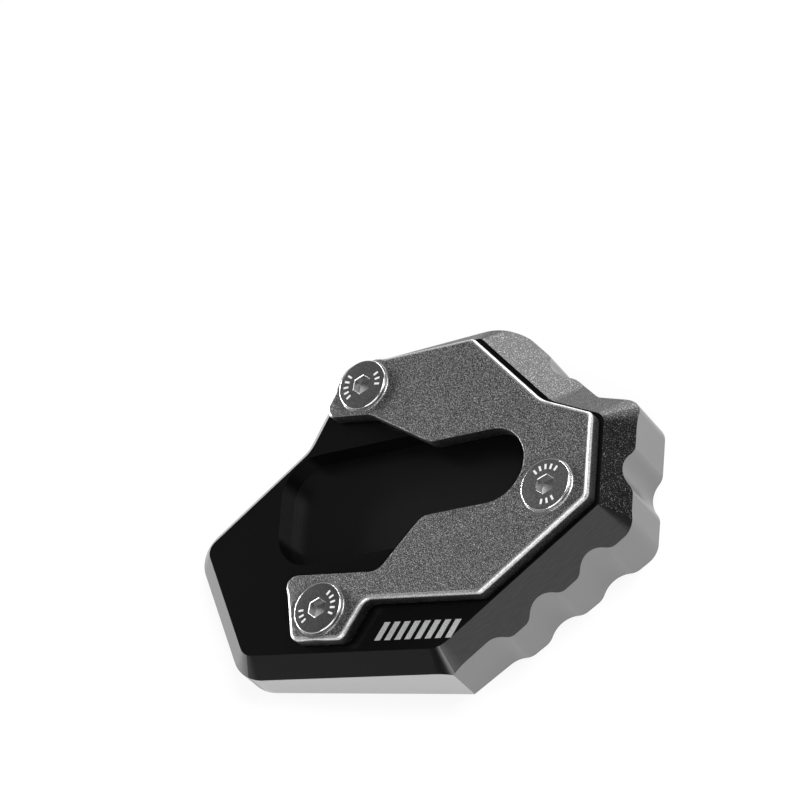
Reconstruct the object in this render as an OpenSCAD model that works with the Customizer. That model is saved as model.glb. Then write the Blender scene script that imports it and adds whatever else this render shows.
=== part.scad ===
// Foot enlarger for a motorbike side stand: a wedge-shaped base block with a tilted deck, a slotted clamp plate
// and three countersunk screws that pull the plate down on the stand's own foot.
//
// The sole lies flat at Z = 0. The deck is a plane of its own, tilted over the sole, and everything above it is
// drawn in the deck's frame. An outline is a list of straight sides, counterclockwise seen from above. Each side is
// [angle of its outward normal, distance from the deck's origin, radius of the corner where it ends].

/* [Deck] */
// Height of the deck over the sole, at the deck's origin
deck_h = 15.8; // [14:0.1:22]
// Rise of the deck towards the outer end, in degrees
deck_pitch = 4.9; // [3:0.1:6]
// Rise of the deck towards the rear, in degrees
deck_roll = 1.6; // [0.5:0.1:2.5]

/* [Deck outline] */
// Distance from the deck's origin to the front edge
front_d = 34.9; // [33:0.1:38]
// Distance to the facet between the front edge and the outer end
front_facet_d = 30.2; // [29.5:0.1:33]
// Distance to the outer end
end_d = 40.1; // [39:0.1:44]
// Distance to the short shoulder behind the outer end
shoulder_d = 28; // [27.5:0.1:29]
// Distance to the facet between the shoulder and the rear edge
rear_facet_d = 32.2; // [31.7:0.1:34]
// Distance to the rear edge
rear_d = 37.8; // [37.2:0.1:39]
// Distance to the cheek beside the rear ear
cheek_d = 39.9; // [39:0.1:41.5]
// Distance to the flank under the stand's leg
flank_d = 36.1; // [34:0.1:38]
// Distance to the tail edge
tail_d = 56.2; // [54:0.1:62]

/* [Chamfer round the deck] */
// Width and drop of the chamfer along the front edge
front_chamfer = 4.2; // [3:0.1:5]
// Width and drop of the chamfer along the front facet, over the ridges
front_facet_chamfer = 6.2; // [5:0.1:7]
// Width and drop of the chamfer along the outer end, over the ridges
end_chamfer = 5; // [4.5:0.1:6]
// Width and drop of the chamfer in the middle of the shoulder
shoulder_chamfer = 4.8; // [4:0.1:5.2]
// Width and drop of the chamfer along the rear facet, over the ridges
rear_facet_chamfer = 6.9; // [6:0.1:7.3]
// Width and drop of the chamfer along the rear edge
rear_chamfer = 3.5; // [2.5:0.1:5]
// Width and drop of the chamfer along the cheek
cheek_chamfer = 5.6; // [4:0.1:6]
// Width and drop of the chamfer along the flank
flank_chamfer = 4.4; // [3:0.1:5]
// Width and drop of the chamfer along the tail edge
tail_chamfer = 4; // [3:0.1:5]

/* [Grip scallops] */
// Distance between two scallops on the front facet
scallop_pitch = 14.4; // [13.6:0.1:15]
// Number of scallops on the front facet
scallop_count = 3; // [2:1:3]
// Depth of a scallop in the wall
scallop_depth = 2; // [1:0.1:2.6]
// Radius of a scallop's hollow
scallop_r = 5.9; // [5:0.1:6.5]
// Radius that rounds the ridge beside a scallop
ridge_r = 3.6; // [2.5:0.1:4]
// Distance from the outer front corner to the first scallop on the front facet
front_scallop_at = 10.7; // [10:0.1:11.5]
// Distance from the outer front corner to the scallop on the outer end
end_scallop_at = 13.3; // [12.5:0.1:15]
// Distance from the bend at the shoulder to the scallop on the rear facet
rear_scallop_at = 14.5; // [12:0.1:16]

/* [Clamp plate] */
// Thickness of the clamp plate
plate_t = 3.5; // [3:0.1:5]
// Deck left bare round the plate's outer edges
plate_inset = 1.1; // [0.6:0.1:2]
// Distance from the deck's origin to the plate's front edge, between the front ear and the front facet
notch_d = 24; // [22:0.1:26]
// Distance from the deck's origin to the plate's rear edge
plate_rear_d = 36.6; // [36:0.1:37]
// Plate left before the screws of the two ears, towards the front
ear_front = 7.2; // [6.8:0.1:8]
// Plate left beside the rear ear's screw, towards the tail
rear_ear_side = 6.7; // [6.5:0.1:8]
// Plate left beside the front ear's screw, towards the tail
front_ear_side = 7.9; // [6.8:0.1:8.5]
// Plate left beside the front ear's screw, towards the outer end
front_ear_inner = 9.7; // [8:0.1:11]
// Plate left behind the front ear's screw
front_ear_rear = 8.2; // [6.8:0.1:9]
// Distance from the middle of the slot's round end to the slope behind the rear ear
rear_throat = 0.6; // [0:0.1:2]
// Distance from the middle of the slot's round end to the slope behind the front ear
front_throat = 5.7; // [4:0.1:7]

/* [Slot for the stand's leg] */
// Radius of the slot's round end, half its width
slot_r = 8.9; // [8:0.1:9.5]
// Place of the slot's round end along the deck
slot_x = 13.3; // [12:0.1:14]
// Place of the slot's round end across the deck
slot_y = 5.8; // [5:0.1:6.5]
// Turn of the slot's axis, in degrees
slot_turn = 7.5; // [5:0.5:9]

/* [Pocket for the stand's foot] */
// Depth of the pocket under the deck
pocket_depth = 5; // [3:0.1:6]
// Width that the pocket adds to the slot on each side, under the plate
pocket_ledge = 4.6; // [3:0.1:5]
// Distance from the end of the slot to the pocket's end wall
pocket_end_gap = 0.5; // [0.2:0.1:1]
// Length of the pocket from the middle of the slot's round end to the tail
pocket_len = 56; // [50:0.5:57]
// Radius in the pocket's corners
pocket_corner_r = 9; // [6:0.5:12]

/* [Screws] */
// Nominal diameter of the screws
screw_d = 6; // [5:0.5:6]
// Length of a screw, head included
screw_len = 12; // [10:1:14]
// Diameter of the flat head
head_d = 12; // [11.5:0.1:12.6]
// Height of the straight rim of the head
head_rim = 0.4; // [0.2:0.1:0.6]
// Height of the head above the plate
head_rise = 0.7; // [0.6:0.1:1]
// Width across the flats of the hexagon socket
hex_af = 4; // [3:0.5:4]
// Depth of the hexagon socket
hex_depth = 2.4; // [1.5:0.1:2.6]
// Place of the two ear screws along the deck
ear_screw_x = -24; // [-25:0.1:-23]
// Place of the rear ear's screw across the deck
rear_screw_y = 27.7; // [27:0.1:29]
// Place of the front ear's screw across the deck
front_screw_y = -25.9; // [-27:0.1:-25]
// Distance from the outer end of the deck to the outer screw
outer_screw_edge = 11.2; // [10:0.1:12]
// Place of the outer screw across the deck
outer_screw_y = 0.2; // [-1:0.1:1]

/* [Clearances] */
// Gap between a screw and the metal round it
seat_gap = 0.05; // [0.02:0.01:0.1]
// Extra width of the plate's clearance holes
hole_play = 0.6; // [0.4:0.1:1]
// Free depth of a tapped hole under the screw's tip
tip_room = 1.5; // [1:0.1:2]

/* [Hidden] */

$fn = 96;
// Extra radius of every corner's disc, so that its arc crosses the straight sides rather than only touching them
cross = 0.004;

// Directions of the outward normals, in degrees
front_a = -90;
front_facet_a = -47;
end_a = 7;
shoulder_a = 73.2;
rear_facet_a = 51.8;
rear_a = 100;
cheek_a = 160;
flank_a = 134.1;
tail_a = 211.5;
// The shoulder's wall turns out from its deck edge, towards the outer end
shoulder_wall_a = 88;

// Radii of the deck's own corners
front_corner_r = 6.5;
end_front_r = 1;
end_rear_r = 3;
bend_r = 9;
rear_corner_r = 2;
cheek_rear_r = 3.5;
cheek_bend_r = 9;
flank_r = 3;
tail_front_r = 4;

// The chamfer's planes reach this far out and down, past the widest chamfer
flare = 8.8;
// Turn of one facet in the corners of the chamfer, in degrees
facet_turn = 5;
// Anything that must pass right through the block
through = 6 * deck_h;

function unit(a) = [cos(a), sin(a)];
function bend(a, b) = (b[0] - a[0] + 900) % 360 - 180;
// Corner where two sides meet
function meet(a, b) =
    let (n = unit(a[0]), m = unit(b[0]), k = n.x * m.y - n.y * m.x)
    [(a[1] * m.y - b[1] * n.y) / k, (b[1] * n.x - a[1] * m.x) / k];
function next(s, i) = s[(i + 1) % len(s)];
function before(s, i) = s[(i + len(s) - 1) % len(s)];
// Centre of the arc that rounds the corner between sides a and b
function arc_centre(a, b) =
    let (n = unit(a[0]), m = unit(b[0]), side = bend(a, b) > 0 ? -1 : 1)
    meet(a, b) + side * a[2] * (n + m) / (1 + n * m);
// Length that the arc takes from each of the two sides
function trim(a, b) = a[2] * tan(abs(bend(a, b)) / 2);
// Ends of the straight stretch of side i
function side_start(s, i) =
    meet(before(s, i), s[i]) + trim(before(s, i), s[i]) * unit(s[i][0] + 90);
function side_end(s, i) = meet(s[i], next(s, i)) - trim(s[i], next(s, i)) * unit(s[i][0] + 90);
function ring(s) = [for (i = [0 : len(s) - 1]) for (p = [side_start(s, i), side_end(s, i)]) p];
// The outline moved out by d, each of its arcs as points on short facets
function facet_ring(s, d) = [for (i = [0 : len(s) - 1])
    let (turn = bend(s[i], next(s, i)), c = arc_centre(s[i], next(s, i)), n = ceil(abs(turn) / facet_turn),
        r = turn > 0 ? s[i][2] + d : d - s[i][2])
    for (k = [0 : n]) c + r * unit(s[i][0] + turn * k / n)];
// Outermost reach of a rounded outline in the direction of u
function reach(s, u) = max([for (i = [0 : len(s) - 1])
    bend(s[i], next(s, i)) > 0 ? arc_centre(s[i], next(s, i)) * u + s[i][2] : -1000]);

deck_sides = [
    [front_a, front_d, front_corner_r],
    [front_facet_a, front_facet_d, end_front_r],
    [end_a, end_d, end_rear_r],
    [shoulder_a, shoulder_d, bend_r],
    [rear_facet_a, rear_facet_d, rear_corner_r],
    [rear_a, rear_d, cheek_rear_r],
    [cheek_a, cheek_d, cheek_bend_r],
    [flank_a, flank_d, flank_r],
    [tail_a, tail_d, tail_front_r],
];
chamfers = [front_chamfer, front_facet_chamfer, end_chamfer, shoulder_chamfer, rear_facet_chamfer,
    rear_chamfer, cheek_chamfer, flank_chamfer, tail_chamfer];
// Radii of the wall's corners, which stand a chamfer's width outside the deck
front_wall_r = 3;
end_front_wall_r = 5;
end_rear_wall_r = 4;
bend_wall_r = 2.5;
rear_wall_r = 11;
cheek_rear_wall_r = 7;
cheek_bend_wall_r = 4;
flank_wall_r = 8;
tail_front_wall_r = 10;
wall_corner_r = [front_wall_r, end_front_wall_r, end_rear_wall_r, bend_wall_r, rear_wall_r, cheek_rear_wall_r,
    cheek_bend_wall_r, flank_wall_r, tail_front_wall_r];
// A point that drops by d under the tilted deck moves outwards over the sole by this much
function lean(a, d) = d * (sin(deck_pitch) * cos(a) + sin(deck_roll) * sin(a));
shoulder = 3;
shoulder_middle = (meet(deck_sides[shoulder - 1], deck_sides[shoulder])
    + meet(deck_sides[shoulder], deck_sides[shoulder + 1])) / 2;
wall_sides = [for (i = [0 : len(deck_sides) - 1]) let (s = deck_sides[i], c = chamfers[i])
    i == shoulder
        ? [shoulder_wall_a, (shoulder_middle + c * unit(s[0])) * unit(shoulder_wall_a), wall_corner_r[i]]
        : [s[0], s[1] + c + lean(s[0], c), wall_corner_r[i]]];

// Middle of the block's outline over the sole, where the part's origin goes
x_min = -reach(wall_sides, [-1, 0]);
x_max = reach(wall_sides, [1, 0]);
y_min = -reach(wall_sides, [0, -1]);
y_max = reach(wall_sides, [0, 1]);
middle = [(x_min + x_max) / 2, (y_min + y_max) / 2];

// Corners of the wall that the scallops are measured from
outer_corner = meet(wall_sides[1], wall_sides[2]);
shoulder_corner = meet(wall_sides[3], wall_sides[4]);

slot_end = [slot_x, slot_y];
pocket_half = slot_r + pocket_ledge;
// Distance of a line from the deck's origin, when it runs d outside the slot's centre
function off_slot(a, d) = unit(a) * slot_end + d;
pocket_sides = [
    [slot_turn - 90, off_slot(slot_turn - 90, pocket_half), pocket_corner_r],
    [slot_turn, off_slot(slot_turn, slot_r + pocket_end_gap), pocket_corner_r],
    [slot_turn + 90, off_slot(slot_turn + 90, pocket_half), pocket_corner_r],
    [slot_turn + 180, off_slot(slot_turn + 180, pocket_len), pocket_corner_r],
];

rear_screw = [ear_screw_x, rear_screw_y];
outer_screw = [(end_d - outer_screw_edge - outer_screw_y * sin(end_a)) / cos(end_a), outer_screw_y];
front_screw = [ear_screw_x, front_screw_y];
screws = [rear_screw, outer_screw, front_screw];
// Distance of a line from the deck's origin, when it runs d outside the screw at p
function off_screw(a, p, d) = unit(a) * p + d;

notch_side_a = -24.8;
plate_rear_a = 97.6;
rear_cheek_a = 158.5;
rear_throat_a = -114.4;
front_throat_a = 144.5;
front_cheek_a = 197;
// Radii of the plate's corners
ear_r = 2.5;
rear_ear_r = 5;
plate_corner_r = 2;
throat_r = 4;
plate_sides = [
    [front_a, off_screw(front_a, front_screw, ear_front), ear_r],
    [notch_side_a, off_screw(notch_side_a, front_screw, front_ear_inner), ear_r],
    [front_a, notch_d, plate_corner_r],
    [front_facet_a, front_facet_d - plate_inset, plate_corner_r],
    [end_a, end_d - plate_inset, plate_corner_r],
    [shoulder_a, shoulder_d - plate_inset, bend_r],
    [rear_facet_a, rear_facet_d - plate_inset, plate_corner_r],
    [plate_rear_a, plate_rear_d, rear_ear_r],
    [rear_cheek_a, off_screw(rear_cheek_a, rear_screw, rear_ear_side), ear_r],
    [front_a, off_screw(front_a, rear_screw, ear_front), throat_r],
    [rear_throat_a, off_slot(rear_throat_a, rear_throat), throat_r],
    [slot_turn - 90, off_slot(slot_turn - 90, -slot_r), 0],
    [slot_turn + 180, off_slot(slot_turn + 180, 0), 0],
    [slot_turn + 90, off_slot(slot_turn + 90, -slot_r), throat_r],
    [front_throat_a, off_slot(front_throat_a, front_throat), throat_r],
    [90, off_screw(90, front_screw, front_ear_rear), ear_r],
    [front_cheek_a, off_screw(front_cheek_a, front_screw, front_ear_side), ear_r],
];

head_top = plate_t + head_rise;
rim_bottom = head_top - head_rim;
screw_tip = head_top - screw_len;
// Width of the head's cone where it passes the plate's top face
seat_d = head_d - 2 * (rim_bottom - plate_t);
countersink_d = seat_d + 2 * seat_gap;
clear_d = screw_d + hole_play;
lip_d = head_d + 1.4;
lip_depth = 0.45;
tip_chamfer = 0.7;
drill_point = (screw_d / 2 + seat_gap) / tan(59);

// Puts what is drawn on the deck's plane in its place over the sole
module on_deck() {
    translate([-middle.x, -middle.y, deck_h]) rotate([deck_roll, -deck_pitch, 0]) children();
}

// Flat shape with the given sides, its corners rounded by true arcs
module outline(s) {
    difference() {
        union() {
            polygon(ring(s));
            for (i = [0 : len(s) - 1])
                if (s[i][2] > 0 && bend(s[i], next(s, i)) > 0)
                    translate(arc_centre(s[i], next(s, i))) circle(s[i][2] + cross);
        }
        for (i = [0 : len(s) - 1])
            if (s[i][2] > 0 && bend(s[i], next(s, i)) < 0)
                translate(arc_centre(s[i], next(s, i))) circle(s[i][2] + cross);
    }
}

// Hollow with rounded ridges, cut in a wall that runs along X and faces +Y. With run, it goes on level to +X
module scallop_plan(run = 0) {
    far = scallop_r + ridge_r;
    half = sqrt(far * far - (far - scallop_depth) * (far - scallop_depth));
    over = scallop_depth;
    difference() {
        union() {
            polygon([[-half, over], [-half, 0], [0, -scallop_depth], [run > 0 ? run : 0, -scallop_depth],
                [run > 0 ? run : half, 0], [run > 0 ? run : half, over]]);
            translate([0, scallop_r - scallop_depth]) circle(scallop_r);
        }
        translate([-half, -ridge_r]) circle(ridge_r + cross);
        if (run == 0) translate([half, -ridge_r]) circle(ridge_r + cross);
    }
}

// Puts a scallop on side s, at the distance along from point p, on the side to the left or right of p
module scallop_on(s, p, along, run = 0) {
    translate(p + along * unit(s[0] + 90)) rotate(s[0] - 90) scallop_plan(run);
}

// Outline of the wall over the sole, with its scallops
module wall_plan() {
    difference() {
        outline(wall_sides);
        for (k = [0 : scallop_count - 2])
            scallop_on(wall_sides[1], outer_corner, -front_scallop_at - k * scallop_pitch);
        scallop_on(wall_sides[1], outer_corner, -front_scallop_at - (scallop_count - 1) * scallop_pitch,
            2 * front_d);
        scallop_on(wall_sides[2], outer_corner, end_scallop_at);
        scallop_on(wall_sides[4], shoulder_corner, rear_scallop_at);
    }
}

// Everything under the deck and its 45 degree chamfer. The arcs of the corners are runs of short flat facets
module under_chamfer(s) {
    top = facet_ring(s, 0);
    low = facet_ring(s, flare);
    n = len(top);
    polyhedron([for (p = top) [p.x, p.y, 0], for (p = low) [p.x, p.y, -flare]], [
        [for (i = [n - 1 : -1 : 0]) i],
        for (i = [0 : n - 1]) [i, (i + 1) % n, n + (i + 1) % n, n + i],
        [for (i = [0 : n - 1]) n + i],
    ]);
    translate([-through, -through, -through]) cube([2 * through, 2 * through, through - flare + 0.3]);
}

// Blind hole for a screw, with the cone that the drill leaves
module tapped_hole() {
    bore_r = screw_d / 2 + seat_gap;
    depth = tip_room - screw_tip;
    rotate_extrude() polygon([[0, 1], [0, -depth - drill_point], [bore_r, -depth], [bore_r, 1]]);
}

module base_block() {
    color("#26282b") difference() {
        intersection() {
            translate([-middle.x, -middle.y, 0]) linear_extrude(2 * deck_h) wall_plan();
            on_deck() under_chamfer(deck_sides);
        }
        on_deck() translate([0, 0, -pocket_depth]) linear_extrude(through) outline(pocket_sides);
        on_deck() for (p = screws) translate(p) tapped_hole();
    }
}

// Hole in the plate for a screw: clearance, a 90 degree seat and a shallow lip
module countersink() {
    seat_depth = (countersink_d - clear_d) / 2;
    translate([0, 0, -1]) cylinder(h = plate_t + 2, d = clear_d);
    translate([0, 0, plate_t - seat_depth]) cylinder(h = seat_depth, d1 = clear_d, d2 = countersink_d);
    translate([0, 0, plate_t - lip_depth]) cylinder(h = lip_depth, d1 = countersink_d - 2 * lip_depth, d2 = lip_d);
}

module clamp_plate() {
    color("#b4b6b8") on_deck() difference() {
        linear_extrude(plate_t) outline(plate_sides);
        translate([slot_end.x, slot_end.y, -1]) cylinder(h = plate_t + 2, r = slot_r + cross);
        for (p = screws) translate(p) countersink();
    }
}

// Countersunk screw with a hexagon socket, its profile turned round the axis
module screw(p) {
    shank_r = screw_d / 2;
    head_r = head_d / 2;
    rim_break = 0.15;
    color("#d2d4d6") on_deck() translate(p) difference() {
        rotate_extrude() polygon([
            [0, screw_tip],
            [shank_r - tip_chamfer, screw_tip],
            [shank_r, screw_tip + tip_chamfer],
            [shank_r, rim_bottom - (head_r - shank_r)],
            [head_r, rim_bottom],
            [head_r, head_top - rim_break],
            [head_r - rim_break, head_top],
            [0, head_top],
        ]);
        translate([0, 0, head_top - hex_depth]) cylinder(h = hex_depth + 1, d = hex_af / cos(30), $fn = 6);
    }
}

module screw_rear() { screw(rear_screw); }
module screw_outer() { screw(outer_screw); }
module screw_front() { screw(front_screw); }

base_block();
clamp_plate();
screw_rear();
screw_outer();
screw_front();
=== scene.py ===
from math import atan2, cos, degrees, pi, radians, sin

import bmesh
import bpy
from mathutils import Matrix, Vector


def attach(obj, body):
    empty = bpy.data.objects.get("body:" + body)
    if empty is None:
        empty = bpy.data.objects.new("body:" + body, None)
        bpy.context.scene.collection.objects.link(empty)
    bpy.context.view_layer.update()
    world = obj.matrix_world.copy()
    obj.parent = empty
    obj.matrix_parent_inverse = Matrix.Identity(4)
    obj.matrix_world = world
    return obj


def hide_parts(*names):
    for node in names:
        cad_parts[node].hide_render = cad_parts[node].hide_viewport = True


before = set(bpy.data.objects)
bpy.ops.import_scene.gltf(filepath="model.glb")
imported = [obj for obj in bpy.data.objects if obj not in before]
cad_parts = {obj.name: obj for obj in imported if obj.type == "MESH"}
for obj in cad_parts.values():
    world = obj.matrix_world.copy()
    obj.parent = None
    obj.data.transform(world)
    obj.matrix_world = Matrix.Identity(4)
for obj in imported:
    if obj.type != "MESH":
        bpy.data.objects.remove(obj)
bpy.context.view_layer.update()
scene = bpy.context.scene
MM = 0.001

# The deck is tilted over the sole. What lies on it is given in millimetres from the deck's own origin
DECK_ORIGIN = (8.5235, -1.9275, 15.8)
DECK_PITCH = 4.9
DECK_ROLL = 1.6
deck_turn = Matrix.Rotation(radians(-DECK_PITCH), 3, "Y") @ Matrix.Rotation(radians(DECK_ROLL), 3, "X")
deck_place = Matrix.Translation(Vector(DECK_ORIGIN) * MM) @ deck_turn.to_4x4()

POCKET_DEPTH = 5.0
PLATE_THICKNESS = 3.5
SCREWS = {"screw_rear": (-24.0, 27.7), "screw_outer": (29.09, 0.2), "screw_front": (-24.0, -25.9)}
# Directions seen from above, in degrees: the front facet of the block, and the plate's slot over the pocket
FRONT_FACET_TURN = -43.0
SLOT_TURN = 7.5


def in_deck(point):
    """A point of the part's frame, in millimetres in the deck's frame."""
    return deck_place.inverted() @ point / MM


def deck_direction(normal):
    """A direction of the part's frame, in the deck's frame."""
    return deck_turn.inverted() @ normal


def deck_spot(x, y, z=0.0):
    """Place on the deck, as a matrix."""
    return deck_place @ Matrix.Translation(Vector((x, y, z)) * MM)


def from_screw(spot):
    """Distance along the deck from a spot to the nearest screw's axis."""
    return min((Vector(place) - spot.xy).length for place in SCREWS.values())


# Finishes
# Scales of the noise, per metre: the blasted plate, the blasted chamfer and plain black anodising
PLATE_GRAIN = 4300
CHAMFER_GRAIN = 4200
SMOOTH_GRAIN = 2600
# Turn of its lattice, in radians, away from the part's flat faces, so that it shows no bands on them
GRAIN_TURN = (0.6, 0.9, 0.4)


class Finish:
    """A material with one Principled shader, and short calls for the nodes that feed it."""

    def __init__(self, name, level, metallic, roughness, ior=1.5):
        self.material = bpy.data.materials.new(name)
        self.material.use_nodes = True
        self.tree = self.material.node_tree
        self.principled = self.tree.nodes["Principled BSDF"]
        self.principled.inputs["Base Color"].default_value = (level, level, level, 1)
        self.principled.inputs["Metallic"].default_value = metallic
        self.principled.inputs["Roughness"].default_value = roughness
        self.principled.inputs["IOR"].default_value = ior
        self.place = self.tree.nodes.new("ShaderNodeTexCoord").outputs["Object"]
        self.bumped = None

    def node(self, kind, **settings):
        made = self.tree.nodes.new(kind)
        for key, value in settings.items():
            setattr(made, key, value)
        return made

    def link(self, source, target):
        self.tree.links.new(source, target)

    def stretched(self, scale=(1, 1, 1), turn=0.0):
        """Coordinates turned about the vertical by so many degrees, then scaled along their own axes."""
        turned = self.node("ShaderNodeMapping")
        turned.inputs["Rotation"].default_value = (0, 0, radians(turn))
        self.link(self.place, turned.inputs["Vector"])
        scaled = self.node("ShaderNodeMapping")
        scaled.inputs["Scale"].default_value = scale
        self.link(turned.outputs["Vector"], scaled.inputs["Vector"])
        return scaled.outputs["Vector"]

    def noise(self, vector, scale, detail):
        made = self.node("ShaderNodeTexNoise")
        made.inputs["Scale"].default_value = scale
        made.inputs["Detail"].default_value = detail
        self.link(vector, made.inputs["Vector"])
        return made.outputs["Fac"]

    def grain(self, scale, detail=1.0):
        """Noise that is alike in all directions."""
        turned = self.node("ShaderNodeMapping")
        turned.inputs["Rotation"].default_value = GRAIN_TURN
        self.link(self.place, turned.inputs["Vector"])
        return self.noise(turned.outputs["Vector"], scale, detail)

    def bump(self, height, strength, distance):
        """Relief of so many millimetres. A second call lays its relief over the first one's."""
        made = self.node("ShaderNodeBump")
        made.inputs["Strength"].default_value = strength
        made.inputs["Distance"].default_value = distance * MM
        self.link(height, made.inputs["Height"])
        if self.bumped:
            self.link(self.bumped, made.inputs["Normal"])
        self.bumped = made.outputs["Normal"]
        self.link(self.bumped, self.principled.inputs["Normal"])

    def color_ramp(self, factor, stops):
        """Grey levels of the surface along the factor, each stop a (position, level) pair."""
        made = self.node("ShaderNodeValToRGB")
        elements = made.color_ramp.elements
        while len(elements) < len(stops):
            elements.new(0.5)
        for element, (position, level) in zip(elements, stops):
            element.position = position
            element.color = (level, level, level, 1)
        self.link(factor, made.inputs["Fac"])
        self.link(made.outputs["Color"], self.principled.inputs["Base Color"])

    def blasted(self, scale, stops, strength, distance):
        """The grains that blasting leaves, each with its own level and relief."""
        grain = self.grain(scale)
        self.color_ramp(grain, stops)
        self.bump(grain, strength, distance)
        return self.material


def anodised_satin():
    """Black deck and pocket: smooth, with a faint unevenness."""
    made = Finish("anodised_satin", 0.0016, 0.0, 0.22, ior=1.38)
    made.bump(made.grain(SMOOTH_GRAIN, 3), 0.2, 0.004)
    return made.material


def anodised_milled(name, roughness, ior):
    """Black chamfer, milled smooth."""
    made = Finish(name, 0.0010, 0.0, roughness, ior=ior)
    made.bump(made.grain(SMOOTH_GRAIN, 2), 0.2, 0.004)
    return made.material


def anodised_lined():
    """Black chamfer over the front scallops, with the fine lines that the cutter leaves along it."""
    made = Finish("anodised_lined", 0.004, 0.0, 0.30, ior=1.38)
    lines = made.noise(made.stretched((5, 6000, 6000), FRONT_FACET_TURN), 1, 2)
    made.color_ramp(lines, [(0.35, 0.001), (0.70, 0.012)])
    made.bump(lines, 0.4, 0.010)
    return made.material


def anodised_blasted(name, metallic, ior, levels):
    """Black chamfer that was blasted before it was anodised, so that single grains glint."""
    made = Finish(name, 0.01, metallic, 0.36, ior=ior)
    return made.blasted(CHAMFER_GRAIN, list(zip((0.42, 0.60, 0.78), levels)), 0.6, 0.05)


def pocket_floor():
    """Black floor of the pocket, with the passes of the cutter side by side along it, and its arcs."""
    made = Finish("pocket_floor", 0.003, 0.0, 0.30)
    along_slot = made.stretched(turn=-SLOT_TURN)
    passes = made.node("ShaderNodeTexWave", wave_type="BANDS", bands_direction="Y", wave_profile="SAW")
    passes.inputs["Scale"].default_value = 95
    passes.inputs["Distortion"].default_value = 0.6
    made.link(along_slot, passes.inputs["Vector"])
    made.bump(passes.outputs["Fac"], 0.3, 0.012)
    arcs = made.node("ShaderNodeTexWave", wave_type="RINGS", rings_direction="Z")
    arcs.inputs["Scale"].default_value = 420
    made.link(along_slot, arcs.inputs["Vector"])
    made.bump(arcs.outputs["Fac"], 0.3, 0.008)
    return made.material


def milled_wall(name, level, metallic, roughness):
    """Bare upright wall, with the faint lines that the side of the cutter leaves."""
    made = Finish(name, level, metallic, roughness)
    made.bump(made.noise(made.stretched((2600, 2600, 12)), 1, 2), 0.2, 0.006)
    return made.material


def blasted_plate():
    """Top of the plate: bright grains with dark pits between them."""
    made = Finish("blasted_plate", 0.45, 1.0, 0.42)
    return made.blasted(PLATE_GRAIN, [(0.40, 0.09), (0.57, 0.36), (0.72, 1.0)], 0.8, 0.06)


def plate_side():
    """Side of the plate, which the blasting leaves duller."""
    made = Finish("plate_side", 0.20, 1.0, 0.45)
    return made.blasted(PLATE_GRAIN, [(0.40, 0.06), (0.70, 0.34)], 0.5, 0.05)


def plate_rim_painted_bright():
    """Rim of the plate's top, painted brighter than the blasted top: a painted highlight."""
    made = Finish("plate_rim_painted_bright", 0.95, 1.0, 0.42)
    return made.blasted(PLATE_GRAIN, [(0.34, 0.40), (0.62, 0.85)], 0.6, 0.05)


def turned_seat():
    """Countersink and shallow dish under a screw's head."""
    made = Finish("turned_seat", 0.85, 1.0, 0.26)
    made.bump(made.grain(PLATE_GRAIN), 0.3, 0.02)
    return made.material


def stainless_turned(name, place, level):
    """Stainless head with the rings that turning leaves round its axis, in a grey given per head, which
    paints light and shade onto the same steel.
    """
    made = Finish(name, level, 1.0, 0.24)
    mapping = made.node("ShaderNodeMapping", vector_type="TEXTURE")
    mapping.inputs["Location"].default_value = deck_spot(*place).translation
    mapping.inputs["Rotation"].default_value = deck_turn.to_euler()
    made.link(made.place, mapping.inputs["Vector"])
    rings = made.node("ShaderNodeTexWave", wave_type="RINGS", rings_direction="Z")
    rings.inputs["Scale"].default_value = 500
    rings.inputs["Distortion"].default_value = 3
    rings.inputs["Detail"].default_value = 2
    made.link(mapping.outputs["Vector"], rings.inputs["Vector"])
    made.bump(rings.outputs["Fac"], 0.25, 0.004)
    made.color_ramp(made.grain(2400, 3), [(0.35, 0.8 * level), (0.70, 1.2 * level)])
    return made.material


def stamped_tick():
    """Raised tick on a head, duller than the turned steel."""
    made = Finish("stamped_tick", 0.80, 0.3, 0.5)
    made.bump(made.grain(PLATE_GRAIN), 0.2, 0.02)
    return made.material


def etched_mark():
    """Grey that a laser leaves in the black."""
    made = Finish("etched_mark", 0.34, 0.0, 0.6)
    made.color_ramp(made.grain(5000), [(0.30, 0.22), (0.70, 0.42)])
    return made.material


SATIN = anodised_satin()
MILLED_FRONT = anodised_milled("anodised_front", 0.20, 1.46)
MILLED = anodised_milled("anodised_tail", 0.28, 2.1)
LINED = anodised_lined()
BLASTED_BLACK = anodised_blasted("anodised_blasted", 0.6, 1.5, (0.004, 0.035, 0.36))
# The side-facing chamfer is the same blasted black as the rear one, with darker grains: painted shade
BLASTED_SIDE_PAINTED_DARKER = anodised_blasted("anodised_blasted_side_painted_dark", 0.3, 1.3, (0.001, 0.008, 0.24))
# The front wall and the scalloped walls are the same bare metal: the front one is painted lighter and the
# scalloped ones darker, as painted light and shade
FRONT_WALL_PAINTED_LIGHTER = milled_wall("milled_wall", 0.46, 0.85, 0.38)
GRIP_WALL_PAINTED_DARKER = milled_wall("scalloped_wall_painted_darker", 0.24, 0.8, 0.32)
PLATE = blasted_plate()
PLATE_SIDE = plate_side()
RIM_PAINTED_BRIGHT = plate_rim_painted_bright()
SEAT = turned_seat()
TICK = stamped_tick()
MARK = etched_mark()
# Each head's grey is the same stainless steel painted lighter or darker: painted light and shade
HEAD_PAINTED_LEVELS = {"screw_rear": 0.62, "screw_outer": 0.74, "screw_front": 0.50}
STAINLESS = {node: stainless_turned("stainless_" + node, SCREWS[node], level)
             for node, level in HEAD_PAINTED_LEVELS.items()}
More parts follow.
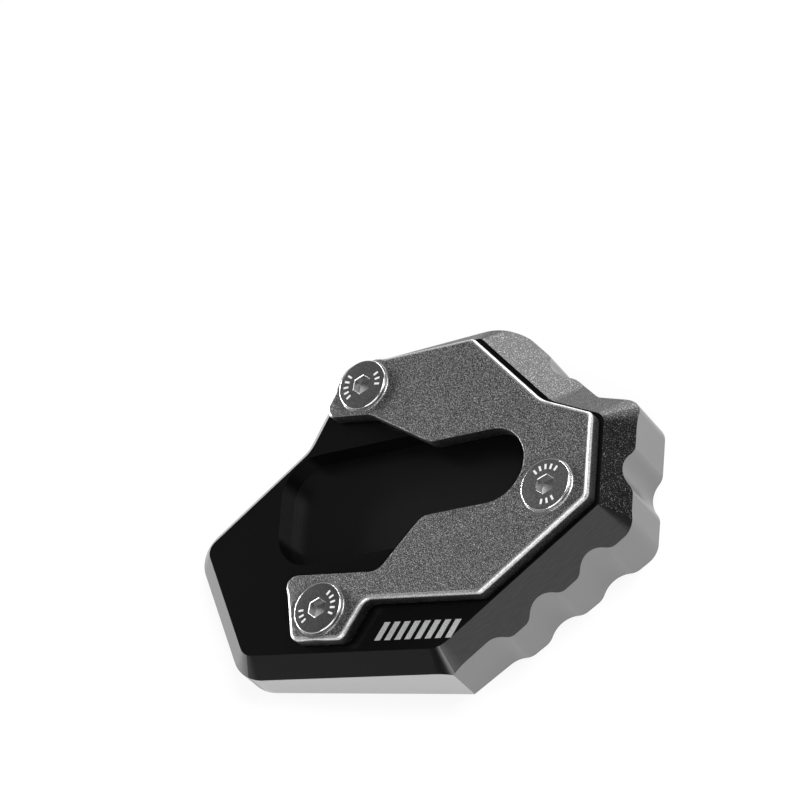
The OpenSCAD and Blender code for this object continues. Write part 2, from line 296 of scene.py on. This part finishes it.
# The socket is the same steel as the head, painted darker inside: painted shade in the recess
SOCKET_STEEL_PAINTED_DARK = Finish("stainless_socket_painted_dark", 0.34, 1.0, 0.30).material
RIM_STEEL = Finish("stainless_rim", 0.72, 1.0, 0.18).material
POCKET = pocket_floor()


# Calls that the pieces share
# Corners nearer than this, in metres, become one
WELD_REACH = 2e-6
# Faces that bend less than this, in degrees, become one flat face
FLAT_BEND = 0.4


def linked(name, data):
    """A new object in the scene, at the origin."""
    made = bpy.data.objects.new(name, data)
    scene.collection.objects.link(made)
    return made


def apply_modifiers(made):
    """Makes the object the plain mesh that its modifiers give it."""
    depsgraph = bpy.context.evaluated_depsgraph_get()
    mesh = bpy.data.meshes.new_from_object(made.evaluated_get(depsgraph), preserve_all_data_layers=True,
                                           depsgraph=depsgraph)
    made.modifiers.clear()
    made.data = mesh


def welded(node, choose, finishes):
    """A CAD node's faces, welded, whole where they are flat, and each with the finish chosen for it."""
    form = bmesh.new()
    form.from_mesh(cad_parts[node].data)
    bmesh.ops.remove_doubles(form, verts=form.verts, dist=WELD_REACH)
    bmesh.ops.dissolve_limit(form, angle_limit=radians(FLAT_BEND), verts=form.verts, edges=form.edges)
    for face in form.faces:
        face.material_index = finishes.index(choose(face.calc_center_median(), face.normal))
        face.smooth = True
    return form


def bodied(name, form, finishes):
    """The object that a form makes, with these finishes."""
    mesh = bpy.data.meshes.new(name)
    form.to_mesh(mesh)
    form.free()
    for material in finishes:
        mesh.materials.append(material)
    return linked(name, mesh)


def keep_flat(made):
    """Lets only the small faces of a rounded edge carry its bend, so that the large ones stay flat."""
    weighted = made.modifiers.new("flat_faces_stay_flat", "WEIGHTED_NORMAL")
    weighted.keep_sharp = True
    weighted.weight = 100


# Block
BASE_FINISHES = [SATIN, MILLED, LINED, BLASTED_BLACK, FRONT_WALL_PAINTED_LIGHTER, GRIP_WALL_PAINTED_DARKER, POCKET, MILLED_FRONT, BLASTED_SIDE_PAINTED_DARKER]
# The chamfer's finish by the direction that it faces, in degrees round the deck, where the side-facing
# blasted finish is a darker copy, which is painted shade. Elsewhere it is milled
CHAMFER_FINISHES = [(-110, -68, MILLED_FRONT), (-68, -20, LINED), (-20, 45, BLASTED_SIDE_PAINTED_DARKER),
                    (45, 130, BLASTED_BLACK)]
# Faces within this reach of the pocket's middle are its own, and faces this near a screw are its hole's
POCKET_MIDDLE = (-14.0, 2.3)
POCKET_REACH = (39.0, 19.0)
HOLE_REACH = 3.6
EDGE_BREAK = 0.16
# Past this line, across the sole, a wall is the plain front one, which is painted lighter as painted light
FRONT_WALL_Y = -40.5275
# How far a face's normal rises, from 0 on an upright face to 1 on a level one
LEVEL = 0.98
STEEP = 0.2
UNDERSIDE = -0.5


def base_finish(centre, normal):
    """Finish of one of the block's faces, from its centre and its normal."""
    spot = in_deck(centre)
    facing = deck_direction(normal)
    in_pocket = (abs(spot.x - POCKET_MIDDLE[0]) < POCKET_REACH[0]
                 and abs(spot.y - POCKET_MIDDLE[1]) < POCKET_REACH[1]
                 and spot.z > -POCKET_DEPTH - 1)
    if in_pocket and facing.z > LEVEL and spot.z < -POCKET_DEPTH + 0.1:
        return POCKET
    if in_pocket or from_screw(spot) < HOLE_REACH or facing.z > LEVEL or normal.z < UNDERSIDE:
        return SATIN
    if normal.z < STEEP:
        return FRONT_WALL_PAINTED_LIGHTER if centre.y / MM < FRONT_WALL_Y else GRIP_WALL_PAINTED_DARKER
    side = degrees(atan2(facing.y, facing.x))
    return next((finish for low, high, finish in CHAMFER_FINISHES if low < side < high), MILLED)


base = bodied("base_body", welded("base_block", base_finish, BASE_FINISHES), BASE_FINISHES)
deburred = base.modifiers.new("deburred", "BEVEL")
deburred.width = EDGE_BREAK * MM
deburred.segments = 2
deburred.limit_method = "ANGLE"
deburred.angle_limit = radians(22)
keep_flat(base)
apply_modifiers(base)
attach(base, "root")
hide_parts("base_block")

# Plate, with a rounded rim that is narrow in the slot and fades out where a screw's seat leaves no room
PLATE_FINISHES = [PLATE, SEAT, PLATE_SIDE, RIM_PAINTED_BRIGHT]
# A sloping face within this reach of a screw is its seat
SEAT_REACH = 7.2
# The rim takes up this share of the room outside a seat's radius
SEAT_RADIUS = 6.7
SEAT_ROOM_USED = 0.75
# The slot runs back from here, and what faces it within this reach has the narrow rim
SLOT_END = Vector((13.3, 5.8))
SLOT_REACH = 20.5
RIM_WIDTH = 0.85
SLOT_RIM_WIDTH = 0.2
RIM_STEPS = 4
# Longer sides of the outline are cut, so that the rim's width can change along them
LONG_SIDE = 3.0
LONG_SIDE_CUTS = 9
# Length of outline over which a change of width is spread, to either side
WIDTH_SPREAD = 1.2
# A narrower rim than this is left out
LEAST_WIDTH = 0.01


def plate_finish(centre, normal):
    """Blasted on top, turned in the screws' seats and duller on the sides."""
    spot = in_deck(centre)
    rise = deck_direction(normal).z
    if rise > LEVEL and spot.z > PLATE_THICKNESS - 0.1:
        return PLATE
    return SEAT if from_screw(spot) < SEAT_REACH and rise > STEEP else PLATE_SIDE


def in_slot(spot, out):
    """True where the plate's outline bounds the slot or the open side between the ears."""
    along = Vector((cos(radians(SLOT_TURN)), sin(radians(SLOT_TURN))))
    to_slot = SLOT_END + along * min(0, (spot - SLOT_END).dot(along)) - spot
    return out.dot(to_slot) > 0 and to_slot.length < SLOT_REACH


def border_of(form, faces):
    """The edges where these faces end."""
    return [edge for edge in form.edges if sum(face in faces for face in edge.link_faces) == 1]


def chained(edges):
    """The edges' vertices in order along the line that they make. On a closed line the first comes twice."""
    ends = {}
    for edge in edges:
        for vert in edge.verts:
            ends.setdefault(vert, []).append(edge)
    vert = next((v for v, found in ends.items() if len(found) == 1), edges[0].verts[0])
    line, used = [vert], set()
    while True:
        following = [edge for edge in ends[vert] if edge not in used]
        if not following:
            return line
        used.add(following[0])
        vert = following[0].other_vert(vert)
        line.append(vert)


def outward(outline, line, top):
    """The direction out of the plate at each vertex of the line, and its mitre's length over the width."""
    sides = {}
    for edge in outline:
        side = next(face for face in edge.link_faces if face not in top)
        for vert in edge.verts:
            sides.setdefault(vert, []).append(deck_direction(side.normal).xy.normalized())
    outs = [sum(sides[vert], Vector((0, 0))).normalized() for vert in line]
    mitres = [1 / max(0.5, out.dot(sides[vert][0])) for vert, out in zip(line, outs)]
    return outs, mitres


def fitted_widths(spots, wanted):
    """The rim's width at each spot of the outline, with no sudden change and clear of the screws' seats."""
    along = [0.0]
    for spot, following in zip(spots, spots[1:]):
        along.append(along[-1] + (following - spot).length)
    widths = []
    for spot, reached in zip(spots, along):
        near = [width for width, other in zip(wanted, along) if abs(other - reached) < WIDTH_SPREAD]
        room = from_screw(spot) - SEAT_RADIUS
        widths.append(max(0.0, min(sum(near) / len(near), SEAT_ROOM_USED * room)))
    return widths


def quarter_round(form, vert, spot, out, mitre, width):
    """Lowers a vertex of the outline by the rim's width, and gives the arc from it up to the plate's top."""
    arc = [vert]
    for step in range(1, RIM_STEPS + 1):
        a = radians(90) * step / RIM_STEPS
        inward = out * -width * mitre * (1 - cos(a))
        place = spot + Vector((*inward, -width * (1 - sin(a))))
        arc.append(form.verts.new(deck_place @ (place * MM)) if width > LEAST_WIDTH else vert)
    vert.co = deck_place @ ((spot - Vector((0, 0, width))) * MM)
    return arc


def rounded_rim(form):
    """The plate's form with its top's outline rounded and its top closed again."""
    top_finish = PLATE_FINISHES.index(PLATE)
    # The rim outside the slot takes the brighter finish, which is a painted highlight
    painted_rim_finish = PLATE_FINISHES.index(RIM_PAINTED_BRIGHT)
    top = {face for face in form.faces if face.material_index == top_finish}
    long_sides = [edge for edge in border_of(form, top) if edge.calc_length() > LONG_SIDE * MM]
    bmesh.ops.subdivide_edges(form, edges=long_sides, cuts=LONG_SIDE_CUTS)
    border = border_of(form, top)
    outline = [edge for edge in border if edge.calc_face_angle(0) > radians(45)]
    seats = [edge for edge in border if edge not in outline]
    line = chained(outline)
    spots = [in_deck(vert.co) for vert in line]
    outs, mitres = outward(outline, line, top)
    wanted = [SLOT_RIM_WIDTH if in_slot(spot.xy, out) else RIM_WIDTH for spot, out in zip(spots, outs)]
    widths = fitted_widths(spots, wanted)
    if line[0] is not line[-1]:
        widths[0] = widths[-1] = 0.0

    inside = [edge for edge in form.edges if edge.link_faces and all(face in top for face in edge.link_faces)]
    bmesh.ops.delete(form, geom=inside, context="EDGES")
    bmesh.ops.delete(form, geom=[face for face in top if face.is_valid], context="FACES_ONLY")
    arcs = []
    for vert, spot, out, mitre, width in zip(line, spots, outs, mitres, widths):
        if arcs and vert is line[0]:
            arcs.append(arcs[0])
        else:
            arcs.append(quarter_round(form, vert, spot, out, mitre, width))
    inner = []
    for near, far, width in zip(arcs, arcs[1:], wanted):
        for step in range(RIM_STEPS):
            corners = list(dict.fromkeys((near[step], far[step], far[step + 1], near[step + 1])))
            if len(corners) > 2:
                face = form.faces.new(corners)
                face.material_index = painted_rim_finish if width == RIM_WIDTH else top_finish
                face.smooth = True
        inner.append(form.edges.get((near[-1], far[-1])))
    filled = bmesh.ops.triangle_fill(form, use_beauty=True, edges=inner + seats,
                                     normal=deck_turn @ Vector((0, 0, 1)))
    for made in filled["geom"]:
        if isinstance(made, bmesh.types.BMFace):
            made.material_index = top_finish
            made.smooth = True
    bmesh.ops.recalc_face_normals(form, faces=form.faces)
    return form


plate = bodied("plate_body", rounded_rim(welded("clamp_plate", plate_finish, PLATE_FINISHES)), PLATE_FINISHES)
keep_flat(plate)
apply_modifiers(plate)
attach(plate, "root")
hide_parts("clamp_plate")

# Screws: a turned body with a hexagon socket, a thread on the shank, and raised ticks on the head
HEAD_TOP = 4.2
HEAD_RADIUS = 6.0
HEAD_RIM = 0.4
RIM_ROUND = 0.34
RIM_ANGLES = range(90, -1, -15)
SHANK_RADIUS = 3.0
TIP_CHAMFER = 0.7
SCREW_LENGTH = 12.0
SOCKET_FLATS = 4.0
SOCKET_DEPTH = 2.4
SOCKET_POINT = 0.5
SOCKET_BREAK = 0.09
SOCKET_MARGIN = 0.3
NECK_LENGTH = 1.0
THREAD_DEPTH = 0.5
THREAD_PITCH = 1.0
THREAD_TURNS = 7
THREAD_FROM = HEAD_TOP - SCREW_LENGTH + TIP_CHAMFER
SCREW_STEPS = 96
SHARP_ANGLE = 28
# A screw's finishes, in the order of its materials; the socket's is painted darker, as painted shade
TURNED, SOCKET, POLISHED = range(3)
# Where each head's ticks start round its axis, in degrees
TICKS_FROM = {"screw_rear": 150.0, "screw_outer": 60.0, "screw_front": -20.0}


def screw_profile():
    """Radius and height of each ring of the screw's outside, from round the socket down to the tip."""
    rim_low = HEAD_TOP - HEAD_RIM
    cone_low = rim_low - (HEAD_RADIUS - SHANK_RADIUS)
    tip = HEAD_TOP - SCREW_LENGTH
    core = SHANK_RADIUS - THREAD_DEPTH
    rings = [(SOCKET_FLATS / 2 / cos(pi / 6) + SOCKET_MARGIN, HEAD_TOP)]
    for angle in RIM_ANGLES:
        out = HEAD_RADIUS - RIM_ROUND + RIM_ROUND * cos(radians(angle))
        rings.append((out, HEAD_TOP - RIM_ROUND + RIM_ROUND * sin(radians(angle))))
    # The corners above and below the cone are eased by a few hundredths
    rings += [(HEAD_RADIUS, rim_low + 0.03), (HEAD_RADIUS - 0.03, rim_low - 0.02)]
    rings += [(SHANK_RADIUS + 0.03, cone_low + 0.05), (SHANK_RADIUS, cone_low - 0.1)]
    rings += [(SHANK_RADIUS, cone_low - NECK_LENGTH), (core, cone_low - NECK_LENGTH - THREAD_DEPTH)]
    rings += [(core, tip + TIP_CHAMFER), (core - TIP_CHAMFER, tip)]
    return rings


def socket_radius(angle):
    """Distance from the axis to the hexagon's side in that direction."""
    return SOCKET_FLATS / 2 / cos((angle + pi / 6) % (pi / 3) - pi / 6)


def screw_form():
    """The screw's closed skin round the Z axis, from the socket over the head and down to the tip."""
    form = bmesh.new()
    angles = [2 * pi * k / SCREW_STEPS for k in range(SCREW_STEPS)]

    def ring(place):
        return [form.verts.new(Vector(place(a)) * MM) for a in angles]

    def turned(radius, height):
        return ring(lambda a: (radius * cos(a), radius * sin(a), height))

    def hexagon(out, height):
        wider = 1 + out / (SOCKET_FLATS / 2)
        return ring(lambda a: (socket_radius(a) * cos(a) * wider, socket_radius(a) * sin(a) * wider, height))

    socket_floor = HEAD_TOP - SOCKET_DEPTH
    rings = [hexagon(0, socket_floor), hexagon(0, HEAD_TOP - SOCKET_BREAK), hexagon(SOCKET_BREAK, HEAD_TOP)]
    rings += [turned(radius, height) for radius, height in screw_profile()]
    finishes = [SOCKET, POLISHED, TURNED, TURNED] + [POLISHED] * len(RIM_ANGLES)
    finishes += [TURNED] * (len(rings) - 1 - len(finishes))
    for upper, lower, finish in zip(rings, rings[1:], finishes):
        for k in range(SCREW_STEPS):
            n = (k + 1) % SCREW_STEPS
            form.faces.new((upper[k], lower[k], lower[n], upper[n])).material_index = finish
    for rim, height in ((rings[0], socket_floor - SOCKET_POINT), (rings[-1], HEAD_TOP - SCREW_LENGTH)):
        hub = form.verts.new((0, 0, height * MM))
        for k in range(SCREW_STEPS):
            form.faces.new((hub, rim[k], rim[(k + 1) % SCREW_STEPS])).material_index = SOCKET
    bmesh.ops.recalc_face_normals(form, faces=form.faces)
    for face in form.faces:
        face.smooth = True
    for edge in form.edges:
        if len(edge.link_faces) == 2 and edge.calc_face_angle(0) > radians(SHARP_ANGLE):
            edge.smooth = False
    return form


def input_value(modifier, name, value):
    """Sets a Geometry Nodes modifier's input by its socket's identifier."""
    for item in modifier.node_group.interface.items_tree:
        if item.item_type == "SOCKET" and item.in_out == "INPUT" and item.name == name:
            modifier[item.identifier] = value
            return
    raise KeyError(name)


class NodeTree:
    """A Geometry Nodes tree with named inputs, which ends in Realize Instances and Set Material."""

    def __init__(self, name, inputs):
        self.tree = bpy.data.node_groups.new(name, "GeometryNodeTree")
        self.tree.interface.new_socket("Geometry", in_out="INPUT", socket_type="NodeSocketGeometry")
        for key, (kind, default) in inputs.items():
            socket = self.tree.interface.new_socket(key, in_out="INPUT", socket_type="NodeSocket" + kind)
            if default is not None:
                socket.default_value = default
        self.tree.interface.new_socket("Geometry", in_out="OUTPUT", socket_type="NodeSocketGeometry")
        self.given = self.tree.nodes.new("NodeGroupInput").outputs
        self.result = self.tree.nodes.new("NodeGroupOutput").inputs

    def node(self, kind, settings=None, **links):
        """A node with its settings, and its inputs by name: a socket is linked and any other value is set."""
        made = self.tree.nodes.new(kind)
        for key, value in (settings or {}).items():
            setattr(made, key, value)
        for key, value in links.items():
            self.feed(made.inputs[key.replace("_", " ")], value)
        return made

    def feed(self, target, value):
        if isinstance(value, bpy.types.NodeSocket):
            self.tree.links.new(value, target)
        else:
            target.default_value = value

    def math(self, operation, a, b=0.0):
        made = self.tree.nodes.new("ShaderNodeMath")
        made.operation = operation
        self.feed(made.inputs[0], a)
        self.feed(made.inputs[1], b)
        return made.outputs[0]

    def end_with(self, geometry, material):
        """Ends the tree with this geometry in this material."""
        real = self.node("GeometryNodeRealizeInstances", Geometry=geometry)
        surface = self.node("GeometryNodeSetMaterial", Geometry=real.outputs[0], Material=material)
        self.tree.links.new(surface.outputs[0], self.result[0])
        return self.tree


def ticks_tree():
    """Raised ticks on a circle round a head: one long row of them, and a short row on the other side."""
    made = NodeTree("head_ticks", {
        "Long Row": ("Int", 5),
        "Short Row": ("Int", 3),
        "Spacing": ("Float", 0.33),
        "From": ("Float", 0.0),
        "Circle": ("Float", 0.0041),
        "Top": ("Float", 0.0042),
        "Tick Size": ("Vector", (0.0012, 0.00045, 0.00012)),
        "Finish": ("Material", None),
    })
    given = made.given
    total = made.math("ADD", given["Long Row"], given["Short Row"])
    index = made.node("GeometryNodeInputIndex").outputs[0]
    in_short_row = made.math("GREATER_THAN", made.math("ADD", index, 0.5), given["Long Row"])
    # The short row is about opposite the long one: half a turn on, less half of all the spacings
    middle = made.math("MULTIPLY", made.math("SUBTRACT", total, 1.0), 0.5)
    across = made.math("SUBTRACT", pi, made.math("MULTIPLY", middle, given["Spacing"]))
    shift = made.math("ADD", made.math("MULTIPLY", in_short_row, across), given["From"])
    angle = made.math("ADD", made.math("MULTIPLY", index, given["Spacing"]), shift)
    x = made.math("MULTIPLY", made.math("COSINE", angle), given["Circle"])
    y = made.math("MULTIPLY", made.math("SINE", angle), given["Circle"])
    spot = made.node("ShaderNodeCombineXYZ", X=x, Y=y, Z=given["Top"])
    points = made.node("GeometryNodePoints", Count=total, Position=spot.outputs[0])
    tick = made.node("GeometryNodeMeshCube", Size=given["Tick Size"])
    turn = made.node("ShaderNodeCombineXYZ", Z=angle)
    placed = made.node("GeometryNodeInstanceOnPoints", Points=points.outputs[0], Instance=tick.outputs[0],
                       Rotation=turn.outputs[0])
    return made.end_with(placed.outputs[0], given["Finish"])


def thread_tree():
    """A thread as one ridge with a diamond section, wound up from the origin round the axis."""
    made = NodeTree("screw_thread", {
        "Turns": ("Float", 7.0),
        "Height": ("Float", 0.007),
        "Core Radius": ("Float", 0.0025),
        "Depth": ("Float", 0.0005),
        "Finish": ("Material", None),
    })
    given = made.given
    helix = made.node("GeometryNodeCurveSpiral", Resolution=48, Rotations=given["Turns"],
                      Height=given["Height"], Start_Radius=given["Core Radius"],
                      End_Radius=given["Core Radius"])
    upright = made.node("GeometryNodeSetCurveNormal", {"mode": "Z_UP"}, Curve=helix.outputs[0])
    section = made.node("GeometryNodeCurvePrimitiveCircle", Resolution=4, Radius=given["Depth"])
    ridge = made.node("GeometryNodeCurveToMesh", Curve=upright.outputs[0], Profile_Curve=section.outputs[0],
                      Fill_Caps=True)
    return made.end_with(ridge.outputs[0], given["Finish"])


def grown(name, tree, finish, place, slot, **values):
    """A piece that a Geometry Nodes tree makes round the origin, put in its place as a plain mesh."""
    made = linked(name, bpy.data.meshes.new(name))
    maker = made.modifiers.new("maker", "NODES")
    maker.node_group = tree
    input_value(maker, "Finish", finish)
    for key, value in values.items():
        input_value(maker, key.replace("_", " "), value)
    apply_modifiers(made)
    made.data.transform(place)
    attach(made, "root")


TICKS = ticks_tree()
THREAD = thread_tree()
for node, (x, y) in SCREWS.items():
    screw = bodied(node + "_body", screw_form(), (STAINLESS[node], SOCKET_STEEL_PAINTED_DARK, RIM_STEEL))
    screw.data.transform(deck_spot(x, y))
    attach(screw, "root")
    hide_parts(node)
    grown(node + "_ticks", TICKS, TICK, deck_spot(x, y), "stainless_screw", From=radians(TICKS_FROM[node]))
    grown(node + "_thread", THREAD, STAINLESS[node], deck_spot(x, y, THREAD_FROM), "stainless_screw",
          Turns=float(THREAD_TURNS), Height=THREAD_TURNS * THREAD_PITCH * MM)

# Etched bars on the deck, in front of the plate
BARS_MIDDLE = (0.6, -30.4)
BARS_HEIGHT = 0.01


def bars_tree():
    """A row of slanted bars along X, centred on the origin."""
    made = NodeTree("etched_bars", {
        "Count": ("Int", 8),
        "Spacing": ("Float", 0.0026),
        "Slant": ("Float", 0.45),
        "Bar Size": ("Vector", (0.0015, 0.0042, 0.00005)),
        "Finish": ("Material", None),
    })
    given = made.given
    index = made.node("GeometryNodeInputIndex").outputs[0]
    middle = made.math("MULTIPLY", made.math("SUBTRACT", given["Count"], 1.0), 0.5)
    along = made.math("MULTIPLY", made.math("SUBTRACT", index, middle), given["Spacing"])
    spot = made.node("ShaderNodeCombineXYZ", X=along)
    points = made.node("GeometryNodePoints", Count=given["Count"], Position=spot.outputs[0])
    bar = made.node("GeometryNodeMeshCube", Size=given["Bar Size"])
    corner = made.node("ShaderNodeSeparateXYZ", Vector=made.node("GeometryNodeInputPosition").outputs[0])
    lean = made.node("ShaderNodeCombineXYZ", X=made.math("MULTIPLY", corner.outputs["Y"], given["Slant"]))
    slanted = made.node("GeometryNodeSetPosition", Geometry=bar.outputs[0], Offset=lean.outputs[0])
    placed = made.node("GeometryNodeInstanceOnPoints", Points=points.outputs[0], Instance=slanted.outputs[0])
    return made.end_with(placed.outputs[0], given["Finish"])


grown("deck_bars", bars_tree(), MARK, deck_spot(*BARS_MIDDLE, BARS_HEIGHT), "anodised_aluminium")

# Light, floor and camera, in metres and degrees
FLOOR_REACH = 6.0
FLOOR_LEVEL = 0.92
FLOOR_GLOW = 0.8
EVEN_LIGHT = 0.35
# The backdrop's level by how steeply a ray rises: white round the part, and a dark ceiling over it
CEILING = ((0.06, 1.0), (0.34, 0.08))
# Each lamp's azimuth and elevation seen from the part, its distance, width and height, and its watts
LAMPS = {
    "key": (36, 58, 0.42, 0.24, 0.24, 1.2),
    "front_panel": (-62, 42, 1.0, 0.7, 0.7, 3.6),
    "corner_panel": (-92, 32, 1.0, 0.22, 0.3, 1.5),
    "rear_strip": (80, 5, 0.8, 0.66, 0.13, 3.8),
    "left_strip": (172, 5, 0.8, 0.6, 0.13, 8),
}
LAMPS_AIM = (0, 0, 0.012)
CAMERA_PLACE = (0.423446, -0.334254, 0.704343)
VIEW_RIGHT = (0.873908, 0.192355, -0.446413)
VIEW_DOWN = (-0.030425, -0.894926, -0.445176)
VIEW_AHEAD = (-0.485139, 0.402624, -0.776231)


def seen_directly(tree):
    """1 on rays from the camera, off a glossy surface or through something clear, and 0 on all others."""
    path = tree.nodes.new("ShaderNodeLightPath")
    found = path.outputs["Is Camera Ray"]
    for kind in ("Is Glossy Ray", "Is Transmission Ray"):
        either = tree.nodes.new("ShaderNodeMath")
        either.operation = "MAXIMUM"
        tree.links.new(found, either.inputs[0])
        tree.links.new(path.outputs[kind], either.inputs[1])
        found = either.outputs[0]
    return found


def floor_paper():
    """White paper that mostly glows for the camera and in reflections, and takes the part's shadow."""
    made = Finish("floor_paper", FLOOR_LEVEL, 0.0, 0.9)
    made.principled.inputs["Specular IOR Level"].default_value = 0.0
    glow = made.node("ShaderNodeEmission")
    glow.inputs["Strength"].default_value = 1.0
    share = made.node("ShaderNodeMath", operation="MULTIPLY")
    share.inputs[1].default_value = FLOOR_GLOW
    mix = made.node("ShaderNodeMixShader")
    made.link(seen_directly(made.tree), share.inputs[0])
    made.link(share.outputs[0], mix.inputs["Fac"])
    made.link(made.principled.outputs["BSDF"], mix.inputs[1])
    made.link(glow.outputs["Emission"], mix.inputs[2])
    made.link(mix.outputs["Shader"], made.tree.nodes["Material Output"].inputs["Surface"])
    return made.material


def floor_piece(reach):
    """The floor that the part stands on, which reaches so many metres to each side."""
    mesh = bpy.data.meshes.new("floor")
    mesh.from_pydata([(-reach, -reach, 0), (reach, -reach, 0), (reach, reach, 0), (-reach, reach, 0)], [],
                     [(0, 1, 2, 3)])
    mesh.materials.append(floor_paper())
    linked("floor", mesh)


def studio_world():
    """A white backdrop under a dark ceiling, for the camera and reflections, and even light for the rest."""
    world = bpy.data.worlds.new("studio")
    world.use_nodes = True
    tree = world.node_tree
    even = tree.nodes["Background"]
    even.inputs["Color"].default_value = (EVEN_LIGHT, EVEN_LIGHT, EVEN_LIGHT, 1)
    direction = tree.nodes.new("ShaderNodeTexCoord")
    height = tree.nodes.new("ShaderNodeSeparateXYZ")
    ceiling = tree.nodes.new("ShaderNodeValToRGB")
    for element, (position, level) in zip(ceiling.color_ramp.elements, CEILING):
        element.position = position
        element.color = (level, level, level, 1)
    backdrop = tree.nodes.new("ShaderNodeBackground")
    mix = tree.nodes.new("ShaderNodeMixShader")
    tree.links.new(direction.outputs["Generated"], height.inputs[0])
    tree.links.new(height.outputs["Z"], ceiling.inputs["Fac"])
    tree.links.new(ceiling.outputs["Color"], backdrop.inputs["Color"])
    tree.links.new(seen_directly(tree), mix.inputs["Fac"])
    tree.links.new(even.outputs["Background"], mix.inputs[1])
    tree.links.new(backdrop.outputs["Background"], mix.inputs[2])
    tree.links.new(mix.outputs["Shader"], tree.nodes["World Output"].inputs["Surface"])
    scene.world = world


def soft_box(name, azimuth, elevation, distance, width, height, watts):
    """A soft lamp in that direction from the part, facing it."""
    light = bpy.data.lights.new(name, "AREA")
    light.shape = "RECTANGLE"
    light.size = width
    light.size_y = height
    light.energy = watts
    a, e = radians(azimuth), radians(elevation)
    away = Vector((cos(a) * cos(e), sin(a) * cos(e), sin(e)))
    made = linked(name, light)
    made.location = Vector(LAMPS_AIM) + away * distance
    made.rotation_euler = away.to_track_quat("Z", "Y").to_euler()


floor_piece(FLOOR_REACH)
studio_world()
for name, lamp in LAMPS.items():
    soft_box(name, *lamp)

camera_data = bpy.data.cameras.new("photo_view")
camera_data.lens = 180
camera_data.sensor_width = 36
camera_data.sensor_fit = "HORIZONTAL"
camera_data.clip_end = 100
camera = linked("photo_view", camera_data)
view_turn = Matrix((VIEW_RIGHT, -Vector(VIEW_DOWN), -Vector(VIEW_AHEAD))).transposed()
camera.matrix_world = Matrix.Translation(CAMERA_PLACE) @ view_turn.to_4x4()
scene.camera = camera
scene.view_settings.view_transform = "Standard"
